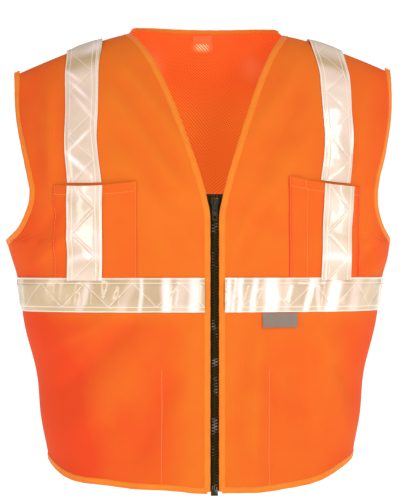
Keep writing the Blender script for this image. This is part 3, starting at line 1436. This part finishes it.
def enamel_material(name):
    """Black enamel over cast zinc, worn to olive along its edges."""
    material, nodes, links, shader = start_material(name, "enamel on cast zinc")
    set_sockets(shader, {"Roughness": 0.24, "Specular IOR Level": 0.30,
                         "Specular Tint": (1.0, 0.92, 0.65, 1)})
    edges = nodes.new("ShaderNodeNewGeometry")
    edges.label = "edges and hollows"
    wear = nodes.new("ShaderNodeMapRange")
    wear.label = "wear on the edges"
    set_sockets(wear, {"From Min": 0.53, "From Max": 0.64})
    links.new(edges.outputs["Pointiness"], wear.inputs["Value"])
    shade = nodes.new("ShaderNodeMix")
    shade.label = "black enamel to worn olive"
    shade.data_type = "RGBA"
    set_sockets(shade, {6: (0.009, 0.008, 0.003, 1), 7: (0.11, 0.10, 0.05, 1)})
    links.new(wear.outputs["Result"], shade.inputs[0])
    links.new(shade.outputs[2], shader.inputs["Base Color"])
    set_out(nodes)
    return material


enamel = enamel_material("slider_metal")


def cast_block(low, high):
    """A plain block between two corners, which is the start of each cast part."""
    bpy.ops.object.select_all(action="DESELECT")
    bpy.ops.mesh.primitive_cube_add(size=1, location=(Vector(low) + Vector(high)) / 2)
    block = bpy.context.object
    block.scale = Vector(high) - Vector(low)
    bpy.ops.object.transform_apply(location=True, rotation=True, scale=True)
    return block


def round_edges(piece, width):
    bpy.context.view_layer.objects.active = piece
    rounded = piece.modifiers.new("cast edges", "BEVEL")
    rounded.width = width
    rounded.segments = 2
    rounded.limit_method = "ANGLE"
    bpy.ops.object.modifier_apply(modifier=rounded.name)
    bpy.ops.object.shade_smooth_by_angle(angle=math.radians(50))


def join_to(piece, others):
    bpy.ops.object.select_all(action="DESELECT")
    for other in [*others, piece]:
        other.select_set(True)
    bpy.context.view_layer.objects.active = piece
    bpy.ops.object.join()


cast_parts = []
for outer_y in (FACE_Y, SLIDER_HIGH.y - PLATE):
    plate = cast_block((-0.0043, outer_y, SLIDER_FOOT), (0.0043, outer_y + PLATE, SLIDER_FOOT + 0.005))
    pick_faces(plate, lambda face: face.normal.z > 0.9)
    for rise, widen in ((0.0045, 1.25), (0.0030, 1.0), (0.0016, 0.93), (0.0009, 0.70)):
        bpy.ops.mesh.extrude_region_move(TRANSFORM_OT_translate={"value": (0, 0, rise)})
        bpy.ops.transform.resize(value=(widen, 1, 1))
    bpy.ops.object.mode_set(mode="OBJECT")
    cast_parts.append(plate)
for x in (-0.0054, 0.0047):
    foot, top = SLIDER_FOOT + 0.0060, SLIDER_FOOT + 0.0128
    for near, far in ((FACE_Y + 0.0008, FACE_Y + 0.0024), (SLIDER_HIGH.y - 0.0016, SLIDER_HIGH.y - 0.0008)):
        cast_parts.append(cast_block((x, near, foot), (x + 0.0007, far, top)))
cast_parts.append(cast_block((-0.0011, FACE_Y + 0.0006, SLIDER_FOOT + 0.0118),
                             (0.0011, SLIDER_HIGH.y - 0.0006, SLIDER_FOOT + 0.0144)))
slider = cast_parts[0]
slider.name = slider.data.name = "slider_casting"
join_to(slider, cast_parts[1:])
round_edges(slider, 0.00032)

bridge_middle = (0, FACE_Y, SLIDER_FOOT + 0.00725)
bpy.ops.object.select_all(action="DESELECT")
bpy.ops.mesh.primitive_torus_add(location=bridge_middle, rotation=(0, math.pi / 2, 0),
                                 major_segments=40, minor_segments=12,
                                 major_radius=0.0048, minor_radius=0.00092)
bridge = bpy.context.object
bpy.ops.object.transform_apply(location=True, rotation=True)
bpy.ops.object.mode_set(mode="EDIT")
bpy.ops.mesh.select_all(action="SELECT")
bpy.ops.transform.resize(value=(1.25, 0.80, 1.0), center_override=bridge_middle)
bpy.ops.mesh.bisect(plane_co=(0, FACE_Y + 0.0005, 0), plane_no=(0, 1, 0), use_fill=True, clear_outer=True)
bpy.ops.object.mode_set(mode="OBJECT")
bpy.ops.object.shade_smooth_by_angle(angle=math.radians(50))
join_to(slider, [bridge])
slider.data.materials.append(enamel)
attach(slider, "slider")
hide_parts("slider_body")

# Each row down the pull: how far below its top it lies, and its half width.
PULL_ROWS = [(0.0, 0.0030), (0.0014, 0.0034), (0.0045, 0.0038), (0.0085, 0.0043), (0.0125, 0.0045),
             (0.0165, 0.0045), (0.0190, 0.0045), (0.0228, 0.0042), (0.0248, 0.0032), (0.0255, 0.0020)]
pull_y = (PULL_LOW.y + PULL_HIGH.y) / 2
bpy.ops.object.select_all(action="DESELECT")
bpy.ops.mesh.primitive_grid_add(x_subdivisions=3, y_subdivisions=len(PULL_ROWS) - 1, size=1)
pull = bpy.context.object
pull.name = pull.data.name = "pull_casting"
for corner in pull.data.vertices:
    column = round((corner.co.x + 0.5) * 3)
    drop, half = PULL_ROWS[round((0.5 - corner.co.y) * (len(PULL_ROWS) - 1))]
    x = (-half, -0.0018, 0.0018, half)[column]
    corner.co = (x, pull_y, PULL_HIGH.z - drop)


def in_pull_opening(face):
    """True in the window under the crossbar, and in the hole for the grip."""
    drop = PULL_HIGH.z - face.center.z
    return abs(face.center.x) < 0.0005 and (0.0014 < drop < 0.0125 or 0.0190 < drop < 0.0228)


pick_faces(pull, in_pull_opening)
bpy.ops.mesh.delete(type="FACE")
bpy.ops.mesh.select_all(action="SELECT")
bpy.ops.mesh.normals_make_consistent(inside=False)
bpy.ops.object.mode_set(mode="OBJECT")
body = pull.modifiers.new("body", "SOLIDIFY")
body.thickness = PULL_HIGH.y - PULL_LOW.y
body.offset = 0
bpy.ops.object.modifier_apply(modifier=body.name)
pick_faces(pull, lambda face: abs(face.normal.y) > 0.9)
bpy.ops.mesh.inset(thickness=0.00055, depth=-0.00022)
bpy.ops.object.mode_set(mode="OBJECT")
round_edges(pull, 0.00018)
pull.data.materials.append(enamel)
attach(pull, "pull")
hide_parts("pull_tab")


# ------------------------------------------------------------------ labels
# A blank grey satin label is sewn in under the left waist tape by its top edge, and a small woven
# label under the back neck binding, inside. Neither carries any words.
LABEL_LOW, LABEL_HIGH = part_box("grey_label")
LABEL_THICKNESS = 0.0005
NECK_LABEL_THICKNESS = 0.0004
grey_satin = woven_material("label", (0.255, 0.190, 0.153), (0.212, 0.156, 0.125), roughness=0.5, cell=0.0006)
grey_thread = woven_material("grey_thread", (0.40, 0.32, 0.27), (0.34, 0.27, 0.22), cell=THREAD_CELL)


def label_place(s, t):
    x = mix(LABEL_LOW[0], LABEL_HIGH[0], s)
    z = mix(LABEL_LOW[2], LABEL_HIGH[2], t)
    angle = angle_at(x, z)
    away = 0.0016 + 0.0010 * (1 - t) ** 2 + 0.0003 * np.sin(s * 7 + 1) * (1 - t)
    return raised(front_surface(angle, z), angle, away)


grey_label = drape("grey_label_cloth", label_place, 36, 18)
thicken(grey_label, LABEL_THICKNESS)
grey_label.data.materials.append(grey_satin)
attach(grey_label, "label")
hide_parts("grey_label")
label_thread = sew("grey_label_thread", [
    on_sheet(label_place, (0.03, 0.97), (0.09, 0.09), off=0.0001),
    on_sheet(label_place, (0.035, 0.035), (0.10, 0.97), off=0.0001),
    on_sheet(label_place, (0.965, 0.965), (0.10, 0.97), off=0.0001),
], thickness=0.0003, pitch=0.0018, length=0.0014)
label_thread.data.materials.append(grey_thread)
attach(label_thread, "label")

NECK_LABEL_LOW, NECK_LABEL_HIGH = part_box("neck_label")
neck_satin = woven_material("neck_label_satin", (0.75, 0.140, 0.032), (0.72, 0.105, 0.024),
                            roughness=0.6, glow=0.26)


def neck_label_place(s, t):
    x = mix(NECK_LABEL_LOW[0], NECK_LABEL_HIGH[0], s)
    z = mix(NECK_LABEL_LOW[2] + 0.004, NECK_LABEL_HIGH[2] + 0.002, t)
    behind = back_surface(angle_at(x, z), z)
    return behind - np.stack([0 * x, 0.0022 + 0.0012 * (1 - t), 0 * x], axis=-1)


neck_label = drape("neck_label_cloth", neck_label_place, 16, 10)
thicken(neck_label, NECK_LABEL_THICKNESS)
finish(neck_label, neck_satin, None, ["neck_label"])
